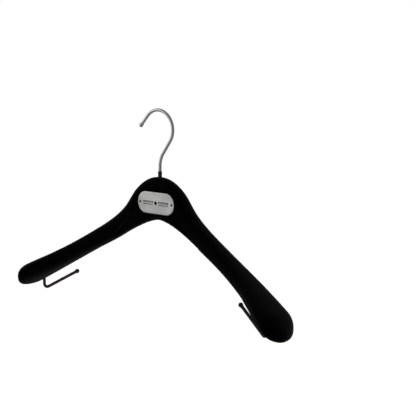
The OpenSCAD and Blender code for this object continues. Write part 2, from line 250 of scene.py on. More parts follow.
def mesh_object(name, verts, edges=(), faces=()):
    """Links a new mesh object, its place in its mesh."""
    mesh = bpy.data.meshes.new(name)
    mesh.from_pydata([tuple(v) for v in verts], list(edges), list(faces))
    obj = bpy.data.objects.new(name, mesh)
    bpy.context.scene.collection.objects.link(obj)
    return obj


def store(mesh, name, kind, values):
    """Stores one value or vector per point."""
    attribute = mesh.attributes.new(name, kind, "POINT")
    field = "value" if kind == "FLOAT" else "vector"
    flat = values if kind == "FLOAT" else [c for v in values for c in v]
    attribute.data.foreach_set(field, flat)


def finish_mesh(obj, sharp_angle, merge=1e-7):
    """Merges doubles, turns all faces outwards and shades the mesh smooth between sharp edges."""
    bm = bmesh.new()
    bm.from_mesh(obj.data)
    bmesh.ops.remove_doubles(bm, verts=bm.verts, dist=merge)
    bmesh.ops.dissolve_degenerate(bm, edges=bm.edges, dist=merge)
    bmesh.ops.recalc_face_normals(bm, faces=bm.faces)
    bm.to_mesh(obj.data)
    bm.free()
    obj.data.shade_smooth()
    obj.data.set_sharp_from_angle(angle=sharp_angle)
    return obj


def lathe(name, profile, start, axis, sides=48):
    """Turns a profile of (radius, distance along the axis) round an axis through start."""
    turn = Vector((0, 0, 1)).rotation_difference(Vector(axis))
    verts = []
    for radius, along in profile:
        for k in range(sides):
            a = 2 * math.pi * k / sides
            spot = Vector((radius * math.cos(a), radius * math.sin(a), along))
            verts.append(Vector(start) + turn @ spot)
    faces = []
    rings = len(profile)
    for i in range(rings - 1):
        for k in range(sides):
            c = (k + 1) % sides
            faces.append((i * sides + k, i * sides + c, (i + 1) * sides + c, (i + 1) * sides + k))
    faces.append(tuple(range(sides)))
    faces.append(tuple(range((rings - 1) * sides, rings * sides)))
    return mesh_object(name, verts, faces=faces)


def rounded_outline(width, height, radius, corner_steps=16):
    """Outline of a rounded rectangle about the origin, as (x, z) points."""
    points = []
    for quarter, (sx, sz) in enumerate(((1, 1), (-1, 1), (-1, -1), (1, -1))):
        for k in range(corner_steps + 1):
            a = math.pi / 2 * (quarter + k / corner_steps)
            x = sx * (width / 2 - radius) + radius * math.cos(a)
            z = sz * (height / 2 - radius) + radius * math.sin(a)
            points.append((x, z))
    return points


def stacked(name, loops, centre):
    """Joins closed outlines of equal length, each at its own y, into a closed solid."""
    n = len(loops[0][1])
    verts = [(centre.x + x, y, centre.z + z) for y, outline in loops for x, z in outline]
    faces = []
    for i in range(len(loops) - 1):
        for k in range(n):
            c = (k + 1) % n
            faces.append((i * n + k, i * n + c, (i + 1) * n + c, (i + 1) * n + k))
    faces.append(tuple(range(n)))
    faces.append(tuple(range((len(loops) - 1) * n, len(loops) * n)))
    return mesh_object(name, verts, faces=faces)


def cut(obj, cutter):
    """Cuts one closed solid out of another."""
    modifier = obj.modifiers.new("cut", "BOOLEAN")
    modifier.operation = "DIFFERENCE"
    modifier.solver = "EXACT"
    modifier.object = cutter
    modifier.material_mode = "TRANSFER"
    keep_result(obj)
    bpy.data.objects.remove(cutter)


def set_material(obj, material):
    """Gives the whole object one material."""
    obj.data.materials.clear()
    obj.data.materials.append(material)


def take_over(obj, body, slot, *nodes):
    """Lets a finished piece stand for CAD nodes and ride on their body; the slot is not used."""
    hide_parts(*nodes)
    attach(obj, body)


# ---------------------------------------------------------------- finishes

def new_material(name):
    """A new material with an empty tree, its Principled shader and its output joined."""
    material = bpy.data.materials.new(name)
    material.use_nodes = True
    tree = material.node_tree
    tree.nodes.clear()
    shader = tree.nodes.new("ShaderNodeBsdfPrincipled")
    output = tree.nodes.new("ShaderNodeOutputMaterial")
    tree.links.new(shader.outputs[0], output.inputs[0])
    return material, tree, shader


def use_group(tree, group, values):
    """Places a shader group in a material and returns its outputs."""
    node = tree.nodes.new("ShaderNodeGroup")
    node.node_tree = group
    for name, value in values.items():
        node.inputs[name].default_value = value
    return node.outputs


def set_shader(tree, shader, values):
    """Sets or links the shader's sockets."""
    for name, value in values.items():
        if isinstance(value, bpy.types.NodeSocket):
            tree.links.new(value, shader.inputs[name])
        else:
            shader.inputs[name].default_value = value


def noise(tree, place, scale, detail=2.0, roughness=0.5, distortion=0.0):
    """A noise value over the object."""
    inputs = {
        "Vector": place, "Scale": scale, "Detail": detail, "Roughness": roughness,
        "Distortion": distortion,
    }
    return add(tree, "ShaderNodeTexNoise", inputs, "Fac")


def flock_group():
    """Short flocked pile: brushed patches, fine fibre grain and a little lint."""
    if "Flocked pile" in bpy.data.node_groups:
        return bpy.data.node_groups["Flocked pile"]
    tree, given, result = new_tree(
        "Flocked pile",
        "ShaderNodeTree",
        [
            ("Deep colour", "Color", (0.001, 0.001, 0.001, 1)),
            ("Raised colour", "Color", (0.004, 0.004, 0.004, 1)),
            ("Lint colour", "Color", (0.1, 0.1, 0.1, 1)),
            ("Fibres per metre", "Float", 3000.0),
            ("Patches per metre", "Float", 28.0),
            ("Lint share", "Float", 0.01),
        ],
        [("Color", "Color"), ("Roughness", "Float"), ("Height", "Float")],
    )
    place = add(tree, "ShaderNodeTexCoord", out="Object")
    patch = noise(tree, place, given["Patches per metre"], 3.0, 0.55, 0.6)
    patch = ramp(tree, patch, 0.32, 0.68)
    grain = noise(tree, place, given["Fibres per metre"], 2.0, 0.6)
    coarse = noise(tree, place, sum_up(tree, "MULTIPLY", given["Fibres per metre"], 0.22), 2.0)
    raised = sum_up(tree, "MULTIPLY", patch, ramp(tree, grain, 0.3, 0.7, 0.5, 1.0))
    pile = blend_colours(tree, raised, given["Deep colour"], given["Raised colour"])
    speck = add(
        tree, "ShaderNodeTexVoronoi", {"Vector": place, "Scale": 260.0}, "Distance", feature="F1"
    )
    cell = add(
        tree, "ShaderNodeTexVoronoi", {"Vector": place, "Scale": 260.0}, "Color", feature="F1"
    )
    picked = add(tree, "ShaderNodeSeparateColor", {"Color": cell}, "Red")
    chosen = sum_up(tree, "LESS_THAN", picked, given["Lint share"])
    lint = sum_up(tree, "MULTIPLY", chosen, ramp(tree, speck, 0.12, 0.05))
    tree.links.new(blend_colours(tree, lint, pile, given["Lint colour"]), result["Color"])
    tree.links.new(ramp(tree, patch, 0.0, 1.0, 1.0, 0.86), result["Roughness"])
    height = sum_up(tree, "ADD", grain, sum_up(tree, "MULTIPLY", coarse, 1.4))
    tree.links.new(height, result["Height"])
    return tree


def wear_group():
    """Handled hard surface: fine hairlines one way, smudges, and a slight unevenness."""
    if "Handling wear" in bpy.data.node_groups:
        return bpy.data.node_groups["Handling wear"]
    tree, given, result = new_tree(
        "Handling wear",
        "ShaderNodeTree",
        [
            ("Stretch", "Vector", (1.0, 1.0, 1.0)),
            ("Lines per metre", "Float", 2500.0),
            ("Smudges per metre", "Float", 90.0),
            ("Clean colour", "Color", (0.7, 0.7, 0.7, 1)),
            ("Smudged colour", "Color", (0.6, 0.6, 0.6, 1)),
            ("Low roughness", "Float", 0.1),
            ("High roughness", "Float", 0.3),
        ],
        [("Color", "Color"), ("Roughness", "Float"), ("Height", "Float")],
    )
    place = add(tree, "ShaderNodeTexCoord", out="Object")
    mapping = add(tree, "ShaderNodeVectorMath", {0: place, 1: given["Stretch"]}, operation="MULTIPLY")
    lines = noise(tree, mapping, given["Lines per metre"], 3.0, 0.65)
    smudge = noise(tree, place, given["Smudges per metre"], 4.0, 0.6, 0.4)
    smudge = ramp(tree, smudge, 0.35, 0.7)
    tree.links.new(
        blend_colours(tree, smudge, given["Clean colour"], given["Smudged colour"]), result["Color"]
    )
    share = sum_up(
        tree, "ADD", sum_up(tree, "MULTIPLY", lines, 0.6), sum_up(tree, "MULTIPLY", smudge, 0.5)
    )
    rough = add(
        tree,
        "ShaderNodeMapRange",
        {
            "Value": share, "From Min": 0.2, "From Max": 0.8,
            "To Min": given["Low roughness"], "To Max": given["High roughness"],
        },
        "Result",
    )
    tree.links.new(rough, result["Roughness"])
    tree.links.new(lines, result["Height"])
    return tree


def bump(tree, height, distance, strength=1.0):
    """Turns a height into a normal; the distance is the relief in metres."""
    inputs = {"Height": height, "Distance": distance, "Strength": strength}
    return add(tree, "ShaderNodeBump", inputs, "Normal")


def velvet_finish(deep, raised, sheen):
    """Deep black flock over moulded plastic."""
    material, tree, shader = new_material("velvet")
    pile = use_group(
        tree,
        flock_group(),
        {
            "Deep colour": (*deep, 1), "Raised colour": (*raised, 1),
            "Lint colour": (0.05, 0.05, 0.055, 1), "Fibres per metre": 2600.0,
            "Patches per metre": 26.0, "Lint share": 0.004,
        },
    )
    set_shader(
        tree,
        shader,
        {
            "Base Color": pile["Color"], "Roughness": pile["Roughness"],
            "Normal": bump(tree, pile["Height"], 0.12 * MM, 0.6),
            "Specular IOR Level": 0.0, "Sheen Weight": sheen, "Sheen Roughness": 0.42,
            "Sheen Tint": (0.93, 0.94, 1.0, 1),
        },
    )
    return material


def worn_finish(name, wear, relief, strength, fixed):
    """A hard finish made from the handling wear group; fixed values go on the shader."""
    material, tree, shader = new_material(name)
    surface = use_group(tree, wear_group(), wear)
    set_shader(
        tree,
        shader,
        {
            "Base Color": surface["Color"], "Roughness": surface["Roughness"],
            "Normal": bump(tree, surface["Height"], relief, strength), **fixed,
        },
    )
    return material


def chrome_finish(colour):
    """Bright chromed wire with faint hairlines."""
    tarnish = tuple(c * 0.9 for c in colour)
    wear = {
        "Stretch": (1, 1, 0.15), "Lines per metre": 4000.0, "Smudges per metre": 70.0,
        "Clean colour": (*colour, 1), "Smudged colour": (*tarnish, 1),
        "Low roughness": 0.05, "High roughness": 0.16,
    }
    return worn_finish("hook_chrome", wear, 0.004 * MM, 0.3, {"Metallic": 1.0})


def satin_finish(colour):
    """Satin plate, brushed along its length."""
    shade = tuple(c * 0.88 for c in colour)
    wear = {
        "Stretch": (0.04, 1, 1), "Lines per metre": 5200.0, "Smudges per metre": 45.0,
        "Clean colour": (*colour, 1), "Smudged colour": (*shade, 1),
        "Low roughness": 0.32, "High roughness": 0.5,
    }
    return worn_finish(
        "badge_metal", wear, 0.008 * MM, 0.5, {"Metallic": 1.0, "Anisotropic": 0.35}
    )


def coated_finish(name, colour, low, high, grain):
    """Coated or moulded dark finish with a fine orange-peel grain."""
    rubbed = tuple(min(1.0, c * 1.6 + 0.004) for c in colour)
    wear = {
        "Stretch": (1, 1, 1), "Lines per metre": grain, "Smudges per metre": 110.0,
        "Clean colour": (*colour, 1), "Smudged colour": (*rubbed, 1),
        "Low roughness": low, "High roughness": high,
    }
    return worn_finish(name, wear, 0.02 * MM, 0.4, {"Specular IOR Level": 0.2})


def plated_finish(name, colour):
    """Zinc-plated turned steel."""
    dull = tuple(c * 0.75 for c in colour)
    wear = {
        "Stretch": (1, 1, 6), "Lines per metre": 1800.0, "Smudges per metre": 220.0,
        "Clean colour": (*colour, 1), "Smudged colour": (*dull, 1),
        "Low roughness": 0.28, "High roughness": 0.5,
    }
    return worn_finish(name, wear, 0.01 * MM, 0.5, {"Metallic": 1.0})


# ---------------------------------------------------------------- geometry trees

def shell_tree():
    """Lofts half of the body over its stations, with the recess pressed into its face."""
    tree, given, result = new_tree(
        "Body half",
        "GeometryNodeTree",
        [
            ("Geometry", "Geometry", None),
            ("Side", "Float", -1.0),
            ("Section roundness", "Float", 2.42),
            ("Recess plane", "Float", 0.0074),
            ("Edge softness", "Float", 0.0012),
            ("Seam depth", "Float", 0.0002),
            ("Crown rows", "Int", 18),
            ("Wall rows", "Int", 12),
            ("Floor rows", "Int", 28),
            ("Material", "Material", None),
        ],
        [("Geometry", "Geometry")],
    )
    line = given["Geometry"]
    count = add(tree, "GeometryNodeAttributeDomainSize", {"Geometry": line}, "Point Count")
    crown_end = given["Crown rows"]
    wall_end = sum_up(tree, "ADD", crown_end, given["Wall rows"])
    last_row = sum_up(tree, "ADD", wall_end, given["Floor rows"])
    rows = sum_up(tree, "ADD", last_row, 2.0)
    grid = add(tree, "GeometryNodeMeshGrid", {"Vertices X": count, "Vertices Y": rows}, "Mesh")
    index = add(tree, "GeometryNodeInputIndex")
    column = sum_up(tree, "FLOOR", sum_up(tree, "DIVIDE", sum_up(tree, "ADD", index, 0.5), rows))
    # The row after the last one comes back to the first and closes the parting face
    row = sum_up(tree, "SUBTRACT", index, sum_up(tree, "MULTIPLY", column, rows))
    closing = sum_up(tree, "GREATER_THAN", row, sum_up(tree, "ADD", last_row, 0.5))
    row = sum_up(tree, "MULTIPLY", row, sum_up(tree, "SUBTRACT", 1.0, closing))

    def along(name):
        """A station's vector, read at this column, as its three numbers."""
        if name == "position":
            value = add(tree, "GeometryNodeInputPosition")
        else:
            value = add(
                tree, "GeometryNodeInputNamedAttribute", {"Name": name}, "Attribute",
                data_type="FLOAT_VECTOR",
            )
        sample = add(
            tree, "GeometryNodeSampleIndex", {"Geometry": line, "Value": value, "Index": column},
            "Value", data_type="FLOAT_VECTOR",
        )
        parts = tree.nodes.new("ShaderNodeSeparateXYZ")
        tree.links.new(sample, parts.inputs[0])
        return parts.outputs

    x, part, middle = along("position")
    half_height, half_depth, share = along("profile")
    lip_z, foot_z, press = along("crease")
    lip_turn, foot_turn, _ = along("turns")

    # Section angle: rows crowd at the parting line and at the recess wall
    down = sum_up(tree, "POWER", ramp(tree, row, 0.0, crown_end), 1.5)
    floor_share = ramp(tree, row, last_row, wall_end)
    up = sum_up(tree, "POWER", floor_share, 1.5)
    quarter = math.pi / 2
    crown_angle = sum_up(
        tree, "ADD", quarter,
        sum_up(tree, "MULTIPLY", down, sum_up(tree, "SUBTRACT", lip_turn, quarter)),
    )
    wall_share = ramp(tree, row, crown_end, wall_end)
    wall_step = sum_up(
        tree, "MULTIPLY", wall_share, sum_up(tree, "SUBTRACT", foot_turn, lip_turn)
    )
    floor_angle = sum_up(
        tree, "ADD", -quarter,
        sum_up(tree, "MULTIPLY", up, sum_up(tree, "ADD", foot_turn, quarter)),
    )
    on_floor = sum_up(tree, "GREATER_THAN", row, wall_end)
    off_floor = sum_up(tree, "SUBTRACT", 1.0, on_floor)
    angle = sum_up(
        tree, "ADD",
        sum_up(tree, "MULTIPLY", off_floor, sum_up(tree, "ADD", crown_angle, wall_step)),
        sum_up(tree, "MULTIPLY", on_floor, floor_angle),
    )

    # Superellipse section
    power = sum_up(tree, "DIVIDE", 2.0, given["Section roundness"])
    sine = sum_up(tree, "SINE", angle)
    cosine = sum_up(tree, "MAXIMUM", sum_up(tree, "COSINE", angle), 0.0)
    lift = sum_up(
        tree, "MULTIPLY", sum_up(tree, "SIGN", sine),
        sum_up(tree, "POWER", sum_up(tree, "ABSOLUTE", sine), power),
    )
    seam = sum_up(tree, "GREATER_THAN", sum_up(tree, "ABSOLUTE", sine), 0.99999)
    seam_cut = sum_up(tree, "MULTIPLY", sum_up(tree, "MULTIPLY", seam, share), given["Seam depth"])
    reach = sum_up(tree, "SUBTRACT", half_height, seam_cut)
    z = sum_up(tree, "ADD", middle, sum_up(tree, "MULTIPLY", reach, lift))
    depth = sum_up(tree, "MULTIPLY", half_depth, sum_up(tree, "POWER", cosine, power))

    # Recess: the face is pressed back to one plane below the crease
    floor = sum_up(
        tree, "SUBTRACT", given["Recess plane"], sum_up(tree, "MULTIPLY", given["Side"], part)
    )
    flat = sum_up(tree, "SMOOTH_MIN", depth, floor, given["Edge softness"])
    inside = sum_up(tree, "MULTIPLY", ramp(tree, z, lip_z, foot_z, smooth=True), press)
    pressed = sum_up(
        tree, "ADD", depth,
        sum_up(tree, "MULTIPLY", inside, sum_up(tree, "SUBTRACT", flat, depth)),
    )
    pressed = sum_up(tree, "MAXIMUM", pressed, 0.0)
    y = sum_up(tree, "ADD", part, sum_up(tree, "MULTIPLY", given["Side"], pressed))
    place = add(tree, "ShaderNodeCombineXYZ", {"X": x, "Y": y, "Z": z})
    body = add(tree, "GeometryNodeSetPosition", {"Geometry": grid, "Position": place})
    body = add(tree, "GeometryNodeMergeByDistance", {"Geometry": body, "Distance": 2e-6})
    body = add(tree, "GeometryNodeRealizeInstances", {"Geometry": body})
    body = add(
        tree, "GeometryNodeSetMaterial", {"Geometry": body, "Material": given["Material"]}
    )
    tree.links.new(body, result["Geometry"])
    return tree


def wire_tree():
    """Sweeps a round wire along a path; each path point holds its own radius."""
    if "Round wire" in bpy.data.node_groups:
        return bpy.data.node_groups["Round wire"]
    tree, given, result = new_tree(
        "Round wire",
        "GeometryNodeTree",
        [
            ("Geometry", "Geometry", None),
            ("Sides", "Int", 32),
            ("Material", "Material", None),
        ],
        [("Geometry", "Geometry")],
    )
    path = add(tree, "GeometryNodeMeshToCurve", {"Mesh": given["Geometry"]}, "Curve")
    ring = add(
        tree, "GeometryNodeCurvePrimitiveCircle", {"Resolution": given["Sides"], "Radius": 1.0},
        "Curve",
    )
    radius = add(
        tree, "GeometryNodeInputNamedAttribute", {"Name": "wire_radius"}, "Attribute",
        data_type="FLOAT",
    )
    wire = add(
        tree, "GeometryNodeCurveToMesh",
        {"Curve": path, "Profile Curve": ring, "Scale": radius, "Fill Caps": True}, "Mesh",
    )
    wire = add(tree, "GeometryNodeRealizeInstances", {"Geometry": wire})
    wire = add(
        tree, "GeometryNodeSetMaterial", {"Geometry": wire, "Material": given["Material"]}
    )
    tree.links.new(wire, result["Geometry"])
    return tree


def engraved_row_tree():
    """A row of small bars, used to cut the badge's ornament."""
    tree, given, result = new_tree(
        "Engraved row",
        "GeometryNodeTree",
        [
            ("Geometry", "Geometry", None),
            ("Bars", "Int", 5),
            ("Start", "Vector", (0.0, 0.0, 0.0)),
            ("Pitch", "Float", 0.0028),
            ("Bar size", "Vector", (0.001, 0.001, 0.001)),
            ("Material", "Material", None),
        ],
        [("Geometry", "Geometry")],
    )
    step = add(tree, "ShaderNodeCombineXYZ", {"X": given["Pitch"]})
    spots = add(
        tree, "GeometryNodeMeshLine",
        {"Count": given["Bars"], "Start Location": given["Start"], "Offset": step}, "Mesh",
    )
    bar = add(tree, "GeometryNodeMeshCube", {"Size": given["Bar size"]}, "Mesh")
    row = add(tree, "GeometryNodeInstanceOnPoints", {"Points": spots, "Instance": bar}, "Instances")
    row = add(tree, "GeometryNodeRealizeInstances", {"Geometry": row})
    row = add(tree, "GeometryNodeSetMaterial", {"Geometry": row, "Material": given["Material"]})
    tree.links.new(row, result["Geometry"])
    return tree


# ---------------------------------------------------------------- settings

def length(name, description, value, **more):
    """A length property in metres."""
    return FloatProperty(
        name=name, description=description, default=value, min=0.0, subtype="DISTANCE",
        unit="LENGTH", precision=5, **more,
    )


def angle(name, description, degrees):
    """An angle property, its default given in degrees."""
    return FloatProperty(
        name=name, description=description, default=math.radians(degrees), subtype="ANGLE",
        unit="ROTATION",
    )


def colour(name, description, value):
    """A linear colour property."""
    return FloatVectorProperty(
        name=name, description=description, default=value, min=0.0, max=1.0, subtype="COLOR"
    )


class HangerBodySettings(bpy.types.PropertyGroup):
    """Moulded and flocked body."""

    roundness: FloatProperty(
        name="Section roundness", description="2 is an ellipse, more is squarer", default=2.42,
        min=2.0, max=4.0,
    )
    crease: length("Crease softness", "Half the width of the recess wall, seen from the front", 0.9 * MM)
    edge: length("Edge softness", "Rounding where the recess floor meets the underside", 1.6 * MM)
    seam: length("Seam depth", "Depth of the groove where the two halves meet", 0.1 * MM)
    crown_step: length("Crown step", "Distance between sections over the crown", 1.5 * MM)
    arm_step: length("Arm step", "Distance between sections along the arms", 3.0 * MM)
    end_steps: IntProperty(
        name="End steps", description="Sections in each rounded shoulder end", default=18, min=4
    )
    pocket_gap: length("Pocket gap", "Clearance round the badge", 0.25 * MM)
    pile_deep: colour("Pile shade", "Colour between the fibres", (0.0001, 0.0001, 0.00012))
    pile_raised: colour("Pile colour", "Colour of the brushed-up fibres", (0.0005, 0.0005, 0.00055))
    sheen: FloatProperty(
        name="Sheen", description="Strength of the pile's sheen", default=0.055, min=0.0, max=1.0
    )


class HangerHookSettings(bpy.types.PropertyGroup):
    """Bent wire hook and its sleeve."""

    wire_radius: length("Wire radius", "Radius of the hook's wire", 2.0 * MM)
    stem: length("Stem", "Straight stem above the body", 13.2 * MM)
    bend_radius: length("Bend radius", "Radius of the bend above the stem", 28.2 * MM)
    lean: angle("Lean", "Lean of the run between the bend and the loop", 36.2)
    lean_run: length("Lean run", "Straight run between the bend and the loop", 19.3 * MM)
    loop_radius: length("Loop radius", "Radius of the loop, to the wire's centre", 23.8 * MM)
    loop_turn: angle("Loop turn", "Angle that the loop turns through", 173.6)
    tail: length("Tail", "Straight wire before the swelled end", 13.4 * MM)
    swell_radius: length("Swell radius", "Radius of the swelled end", 2.6 * MM)
    swell_length: length("Swell length", "Length of the swelled end", 5.0 * MM)
    punch: length("Punch mark", "Radius of the small punch mark on the stem", 0.75 * MM)
    arc_step: angle("Arc step", "Turn between two rings of the wire", 2.5)
    sides: IntProperty(name="Sides", description="Sides of the wire", default=40, min=12)
    chrome: colour("Chrome", "Colour of the chrome", (0.66, 0.66, 0.675))


class HangerBadgeSettings(bpy.types.PropertyGroup):
    """Badge plate, its engraving and its pins."""

    corner: length("Corner radius", "Radius of the plate's corners", 13.2 * MM)
    edge_round: length("Edge rounding", "Rounding of the plate's front edge", 0.5 * MM)
    border_inset: length("Border inset", "Engraved border's distance from the edge", 1.9 * MM)
    border_width: length("Border width", "Width of the engraved border", 0.4 * MM)
    engraving: length("Engraving depth", "Depth of the engraving", 0.15 * MM)
    countersink: length("Countersink", "Width of the dark countersink round each pin", 0.65 * MM)
    diamond: length("Diamond", "Side of the diamond in the middle", 4.2 * MM)
    bars: IntProperty(name="Bars", description="Engraved bars on each side", default=5, min=1)
    first_bar: length("First bar", "Distance of the first bar from the badge's centre", 5.6 * MM)
    bar_pitch: length("Bar pitch", "Distance between the bars", 3.5 * MM)
    bar_width: length("Bar width", "Width of each engraved bar", 2.3 * MM)
    bar_height: length("Bar height", "Height of each engraved bar", 2.5 * MM)
    bar_lift: length("Bar lift", "Height of the bars above the badge's centre", 1.1 * MM)
    rule: length("Rule length", "Length of the thin rule under each row of bars", 16.4 * MM)
    rule_height: length("Rule height", "Height of the thin rules", 0.9 * MM)
    rule_drop: length("Rule drop", "Drop of the rules below the badge's centre", 2.0 * MM)
    plate: colour("Plate", "Colour of the satin plate", (0.655, 0.655, 0.645))


class HangerBarSettings(bpy.types.PropertyGroup):
    """Rods under the arms."""

    rod_radius: length("Rod radius", "Radius of the coated rod", 2.0 * MM)
    gap: length("Gap at the leg", "Drop from the arm's underside to the bar's corner", 16.3 * MM)
    leg_depth: length("Leg depth", "Depth of the leg in the arm", 13.0 * MM)
    bend_radius: length("Bend radius", "Radius of the rod's bend, to its centre", 4.0 * MM)
    arc_step: angle("Arc step", "Turn between two rings of the bend", 7.5)
    sides: IntProperty(name="Sides", description="Sides of the rod", default=28, min=12)
    coat: colour("Coat", "Colour of the rod's coat", (0.012, 0.012, 0.0125))


class HangerStageSettings(bpy.types.PropertyGroup):
    """Camera, floor and lights."""

    azimuth: angle("Azimuth", "Camera's turn to the object's right", 39.43)
    elevation: angle("Elevation", "Camera's height above the level", 9.40)
    distance: length("Distance", "Camera's distance from its aim", 1.2435)
    lens: FloatProperty(
        name="Lens", description="Focal length in millimetres", default=86.3, min=10.0,
        subtype="DISTANCE_CAMERA",
    )
    aim: FloatVectorProperty(
        name="Aim", description="Point that the camera looks at", default=(0.0502, 0.0331, -0.1194),
        subtype="XYZ", unit="LENGTH",
    )
    floor_drop: length("Floor drop", "Floor's distance below the rail", 1.1)
    key: FloatProperty(
        name="Key light", description="Power of the soft light overhead", default=6.0, min=0.0,
        unit="POWER",
    )


SETTINGS = {
    "hanger_body": HangerBodySettings,
    "hanger_hook": HangerHookSettings,
    "hanger_badge": HangerBadgeSettings,
    "hanger_bars": HangerBarSettings,
    "hanger_stage": HangerStageSettings,
}


# ---------------------------------------------------------------- body

def section_turn(z, x, roundness):
    """Section angle at a height, at a distance from the centre."""
    top = top_line(abs(x))
    half = height_line(abs(x)) / 2
    u = max(-1.0, min(1.0, (z - top + half) / half))
    return math.asin(math.copysign(abs(u) ** (roundness / 2), u))


def body_stations(settings, side):
    """A line of stations across one half of the body, each with what its section needs."""
    depth_line = depth_lines[side]
    xs = stations(settings.crown_step / MM, settings.arm_step / MM, settings.end_steps)
    spots, profiles, creases, turns = [], [], [], []
    for x in xs:
        a = abs(x)
        share = end_share(x)
        top = top_line(a)
        half = height_line(a) / 2
        spots.append((x * MM, parting_y(x) * MM, NECK_Z + (top - half) * MM))
        profiles.append((half * share * MM, depth_line(a) * share * MM, share))
        line = recess_line(min(a, RECESS_LINE[-1][0]))
        near = min(a, RECESS_LINE[-1][0] - 0.1)
        slope = (recess_line(near + 0.05) - recess_line(max(0.0, near - 0.05))) / 0.1
        spread_z = settings.crease / MM * math.sqrt(1 + slope**2)
        lip, foot = line + spread_z, line - spread_z
        press = 1.0 if a < RECESS_END else 0.0
        creases.append((NECK_Z + lip * MM, NECK_Z + foot * MM, press))
        # Past the recess the rows spread evenly over the section again
        even = max(0.0, min(1.0, (a - SPREAD_START) / SPREAD_RUN))
        even = even * even * (3 - 2 * even)
        lip_turn = section_turn(lip, x, settings.roundness) * (1 - even) + EVEN_LIP * even
        foot_turn = section_turn(foot, x, settings.roundness) * (1 - even) - EVEN_FOOT * even
        turns.append((lip_turn, foot_turn, 0.0))
    line = mesh_object("stations", spots)
    store(line.data, "profile", "FLOAT_VECTOR", profiles)
    store(line.data, "crease", "FLOAT_VECTOR", creases)
    store(line.data, "turns", "FLOAT_VECTOR", turns)
    return line


def swivel_seat():
    """Solid in the shape of the space round the hook's sleeve, bush and end."""
    sleeve = COLLAR_HIGH.x + 0.3 * MM
    flange = BUSH_HIGH.x
    chamber = flange + 0.3 * MM
    bush = flange - 0.9 * MM
    shoulder = BUSH_LOW.z + 1.6 * MM
    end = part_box("hook_retainer")[0].z - 2 * MM
    profile = [
        (chamber, end), (chamber, BUSH_LOW.z), (flange, BUSH_LOW.z), (flange, shoulder),
        (bush, shoulder), (bush, BUSH_HIGH.z), (sleeve, BUSH_HIGH.z), (sleeve, NECK_Z + 20 * MM),
    ]
    return finish_mesh(lathe("seat", profile, (0, 0, 0), (0, 0, 1), 64), math.radians(30))


def badge_pocket(gap, radius):
    """Solid in the shape of the badge's pocket, open to the front."""
    width, _, height = BADGE_HIGH - BADGE_LOW
    outline = rounded_outline(width + 2 * gap, height + 2 * gap, radius + gap, 24)
    front = BADGE_LOW.y - 20 * MM
    return finish_mesh(
        stacked("pocket", [(BADGE_HIGH.y, outline), (front, outline)], BADGE_CENTRE),
        math.radians(30),
    )


class HANGER_OT_body(bpy.types.Operator):
    """Builds the two flocked halves of the body"""

    bl_idname = "hanger.body"
    bl_label = "Body Halves"

    def execute(self, context):
        settings = context.scene.hanger_body
        velvet = velvet_finish(settings.pile_deep, settings.pile_raised, settings.sheen)
        tree = shell_tree()
        recess_plane = BADGE_HIGH.y - 0.5 * MM
        for name, side in (("front_shell", -1.0), ("back_shell", 1.0)):
            obj = body_stations(settings, side)
            obj.name = name + "_flocked"
            run_tree(
                obj,
                tree,
                {
                    "Side": side, "Section roundness": settings.roundness,
                    "Recess plane": -recess_plane, "Edge softness": settings.edge,
                    "Seam depth": settings.seam, "Material": velvet,
                },
            )
            finish_mesh(obj, math.radians(50))
            cut(obj, swivel_seat())
            if side < 0:
                cut(obj, badge_pocket(settings.pocket_gap, context.scene.hanger_badge.corner))
            set_material(obj, velvet)
            finish_mesh(obj, math.radians(40))
            take_over(obj, "hanger", "velvet", name)
        return {"FINISHED"}


# ---------------------------------------------------------------- hook

def arc(centre, radius, start, turn, step):
    """Points (x, z) along an arc, in radians, without its first point."""
    n = math.ceil(abs(turn) / step)
    return [
        (
            centre[0] + radius * math.cos(start + turn * i / n),
            centre[1] + radius * math.sin(start + turn * i / n),
        )
        for i in range(1, n + 1)
    ]


def wire_object(name, path, radii, sides, material):
    """Sweeps a wire with its own radius at each point of a path."""
    obj = mesh_object(name, path, edges=[(i, i + 1) for i in range(len(path) - 1)])
    store(obj.data, "wire_radius", "FLOAT", radii)
    run_tree(obj, wire_tree(), {"Sides": sides, "Material": material})
    finish_mesh(obj, math.radians(35))
    return obj


def swelled_end(radius, swell, run):
    """Distances past the tail and radii over the swelled end, rounded to a flat cut."""
    rise = [(run * 0.3 * t, radius + (swell - radius) * (3 * t**2 - 2 * t**3))
            for t in (0.25, 0.5, 0.75, 1.0)]
    lip = 0.5 * MM
    turns = [math.pi / 2 * k / 5 for k in range(6)]
    end = [(run - lip + lip * math.sin(a), swell - lip + lip * math.cos(a)) for a in turns]
    return rise + end


